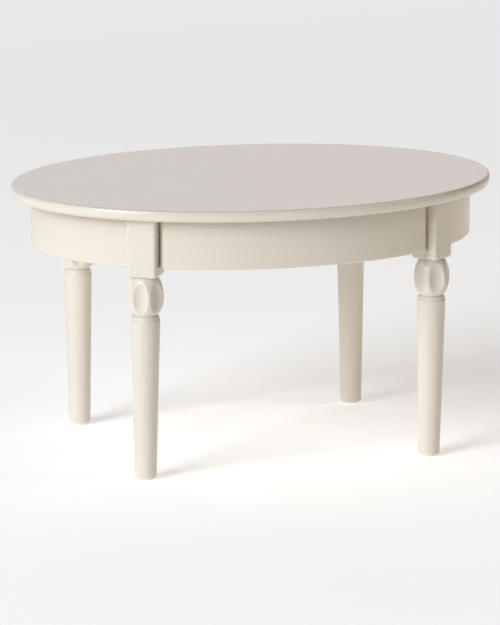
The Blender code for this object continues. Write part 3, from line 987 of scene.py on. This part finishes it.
@dataclass
class TopScrew:
    """A small countersunk wood screw with a cross recess, seen in the underside of its brace."""

    corner: Corner
    head_radius: float = 2.0 * MM
    head_height: float = 1.3 * MM
    head_rim: float = 0.25 * MM
    core_radius: float = 0.78 * MM
    thread_height: float = 0.2 * MM
    pitch: float = 0.8 * MM
    tip_height: float = 1.4 * MM
    recess_reach: float = 1.15 * MM
    recess_half_width: float = 0.24 * MM
    recess_depth: float = 0.7 * MM
    recess_wall: float = 0.08 * MM
    bevel: float = 0.08 * MM
    point_radius: float = 0.02 * MM
    point_gap: float = 0.05 * MM
    face_rows: int = 44
    cone_rows: int = 8
    thread_rows: int = 109
    columns: int = 96

    def recess(self, radius: Array, angle: Array) -> Array:
        """The depth of the cross recess: two crossed slots that shoal towards their ends.

        Args:
            radius: Distances from the screw's axis, down the rows.
            angle: Angles about it, along the columns.

        Returns:
            Depths into the head, as rows by columns.
        """
        across = np.abs(np.stack([radius * np.cos(angle), radius * np.sin(angle)]))
        narrow, far = across.min(axis=0), across.max(axis=0)
        width = self.recess_half_width * (1.3 - 0.5 * far / self.recess_reach)
        slot = ease((width - narrow) / self.recess_wall + 0.5)
        shoal = np.sqrt(np.clip(1.0 - far / self.recess_reach, 0.0, 1.0))
        return self.recess_depth * slot * shoal

    def build(self, wardrobe: Wardrobe) -> None:
        """Turn the screw from the middle of its head, over the rim and up to the point.

        On the threaded stretch the radius is the core's plus a ridge that climbs a pitch a turn:
        thread height times max(0, cos of the phase) to the fourth power.

        Args:
            wardrobe: Where the finish comes from.
        """
        low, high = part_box(self.corner.label + "_screw")
        length = high.z - low.z
        angle = np.linspace(0.0, TAU, self.columns, endpoint=False)[None, :]
        face = np.linspace(0.03, 1.0, self.face_rows)[:, None] * (self.head_radius - self.bevel)
        cone = np.linspace(0.0, 1.0, self.cone_rows)[:, None]
        cone_radius = self.head_radius + cone * (self.core_radius - self.head_radius)
        cone_height = self.head_rim + cone * (self.head_height - self.head_rim)
        shank = np.linspace(self.head_height, length - self.point_gap, self.thread_rows + 1)[1:, None]
        phase = TAU * shank / self.pitch - angle
        taper = ease((length - shank) / self.tip_height)
        ridge = self.thread_height * np.clip(np.cos(phase), 0.0, 1.0) ** 4
        shank_radius = (self.core_radius + ridge) * taper + self.point_radius
        rings = ((face, self.recess(face, angle)), (self.head_radius, self.bevel),
                 (cone_radius, cone_height), (shank_radius, shank))
        radius, height = (np.concatenate([self.ring(pair[part]) for pair in rings]) for part in (0, 1))
        around = np.stack([np.cos(angle), np.sin(angle)], axis=-1)
        plan = plan_centre(self.corner.label + "_screw") + radius[..., None] * around
        piece = grid_object(f"zinc_{self.corner.label}_screw", lift(plan, low.z + height), sharp=35.0)
        wardrobe.new_piece(piece, SCREW_ZINC, self.corner.label + "_screw")

    def ring(self, value: Array | float) -> Array:
        """A value, or a column of them, repeated for every column of the screw."""
        rows = np.atleast_2d(value)
        return np.broadcast_to(rows, (len(rows), self.columns))


class Joinery:
    """The dowels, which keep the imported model's own shapes inside the joints."""

    def build(self, wardrobe: Wardrobe) -> None:
        """Dress every dowel."""
        for node in sorted(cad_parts):
            if node.endswith("_dowel"):
                wardrobe.kept_node(node, DOWEL_WOOD)


# ------------------------------------------------------------------ the studio

@dataclass(frozen=True)
class SoftBox:
    """A rectangular studio light, placed by its bearing from the camera and aimed at the table."""

    name: str
    bearing: float
    elevation: float
    watts: float
    colour: Colour
    width: float = 1.0
    height: float = 1.0
    distance: float = 2.2
    aim_height: float = 0.06

    def build(self, facing: float) -> None:
        """Hang the light and turn it to the middle of the table.

        Args:
            facing: The camera's own direction from the table, in radians.
        """
        turn, rise = facing + math.radians(self.bearing), math.radians(self.elevation)
        away = Vector((math.sin(turn) * math.cos(rise), -math.cos(turn) * math.cos(rise),
                       math.sin(rise)))
        lamp = bpy.data.lights.new(self.name, "AREA")
        lamp.shape = "RECTANGLE"
        lamp.size, lamp.size_y = self.width, self.height
        lamp.energy = self.watts
        lamp.color = self.colour
        holder = bpy.data.objects.new(self.name, lamp)
        holder.location = away * self.distance + Vector((0.0, 0.0, self.aim_height))
        holder.rotation_euler = (-away).to_track_quat("-Z", "Y").to_euler()
        bpy.context.scene.collection.objects.link(holder)


@dataclass
class Studio:
    """A pale floor, soft boxes to the left, right and back, and a long lens looking slightly down."""

    azimuth: float = math.radians(-18.47)
    elevation: float = math.radians(12.34)
    distance: float = 1.3179
    aim_height: float = 0.04282
    sidestep: float = -0.00066
    lens: float = 230.67
    floor_half: float = 12.0
    floor_gap: float = 0.02 * MM
    floor_colour: Colour = (0.93, 0.94, 0.96)
    floor_glow: float = 0.42
    boxes: tuple[SoftBox, ...] = (
        SoftBox("key_light", -44.5, 23.0, 32.6, (0.960, 0.970, 1.0)),
        SoftBox("upper_key", -44.5, 48.0, 7.4, (0.900, 0.985, 1.0)),
        SoftBox("right_card", 87.0, 34.0, 1.25, (1.0, 0.74, 0.42), 0.28, 0.50, 0.9),
        SoftBox("back_wall", 180.0, 19.0, 14.7, (1.0, 0.940, 0.975), 3.0, 1.2),
    )

    def build_camera(self) -> None:
        """Stand the camera off along its azimuth and elevation, level with the horizon."""
        back = Vector((math.sin(self.azimuth) * math.cos(self.elevation),
                       -math.cos(self.azimuth) * math.cos(self.elevation),
                       math.sin(self.elevation)))
        right = Vector((math.cos(self.azimuth), math.sin(self.azimuth), 0.0))
        data = bpy.data.cameras.new("camera")
        data.lens = self.lens
        camera = bpy.data.objects.new("camera", data)
        aim = right * self.sidestep + Vector((0, 0, self.aim_height))
        camera.location = back * self.distance + aim
        camera.rotation_euler = (-back).to_track_quat("-Z", "Y").to_euler()
        bpy.context.scene.collection.objects.link(camera)
        bpy.context.scene.camera = camera

    def build_floor(self) -> None:
        """Lay a wide pale floor with a faint glow of its own, like a lit paper sweep."""
        half = self.floor_half
        mesh = bpy.data.meshes.new("floor")
        mesh.from_pydata([(-half, -half, 0), (half, -half, 0), (half, half, 0), (-half, half, 0)],
                         [], [(0, 1, 2, 3)])
        floor = bpy.data.objects.new("floor", mesh)
        floor.location.z = -self.floor_gap
        bpy.context.scene.collection.objects.link(floor)
        graph = NodeGraph("floor_paper")
        mesh.materials.append(graph.dress(
            Base_Color=(*self.floor_colour, 1.0), Roughness=0.9, Specular_IOR_Level=0.1,
            Emission_Color=(1.0, 1.0, 1.0, 1.0), Emission_Strength=self.floor_glow))

    def build_air(self) -> None:
        """Leave the room dark, so that only the boxes and the floor light the table."""
        world = bpy.data.worlds.new("studio_air")
        world.use_nodes = True
        world.node_tree.nodes["Background"].inputs["Strength"].default_value = 0.0
        bpy.context.scene.world = world
        bpy.context.scene.view_settings.view_transform = "Standard"

    def build(self) -> None:
        """Set up the camera, floor, room and lights."""
        self.build_camera()
        self.build_floor()
        self.build_air()
        for box in self.boxes:
            box.build(self.azimuth)


@dataclass(frozen=True)
class HandFit:
    """How one corner differs from the drawing, as hand work leaves it.

    The leg's turn faces its scoops, in degrees from the corner's outward direction. The lean is
    how far its axis stands off in x, at the post and then at the foot. The post's drop is how much
    lower the post ends.
    """

    leg_turn: float
    lean: tuple[float, float] = (0.0, 0.0)
    post_drop: float = 0.0


HAND_FITS = {
    Corner.FRONT_LEFT: HandFit(0.0, (0.0, -0.36 * MM), -0.5 * MM),
    Corner.FRONT_RIGHT: HandFit(22.5, (0.18 * MM, -0.30 * MM), -0.2 * MM),
    Corner.BACK_LEFT: HandFit(12.0, (-0.28 * MM, 0.0)),
    Corner.BACK_RIGHT: HandFit(-8.0, (0.0, 0.5 * MM)),
}


def main() -> None:
    """Build the studio and every piece of the table."""
    logging.basicConfig(level=logging.INFO, format="%(name)s: %(message)s")
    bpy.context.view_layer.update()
    Studio().build()
    table = TableFrame()
    wardrobe = Wardrobe()

    Tabletop(table).build(wardrobe)
    for side, long_rail, corner in (("front", True, Corner.FRONT_RIGHT),
                                    ("back", True, Corner.BACK_RIGHT),
                                    ("left", False, Corner.BACK_LEFT),
                                    ("right", False, Corner.BACK_RIGHT)):
        ApronRail(table, side, long_rail, corner).build(wardrobe)
    for corner, fit in HAND_FITS.items():
        CornerPost(table, corner, fit.post_drop).build(wardrobe)
        TurnedLeg(table, corner, fit.leg_turn, fit.lean, fit.post_drop).build(wardrobe)
        CornerBrace(table, corner).build(wardrobe)
        TopScrew(corner).build(wardrobe)
    Joinery().build(wardrobe)


if __name__ == "__main__":
    main()
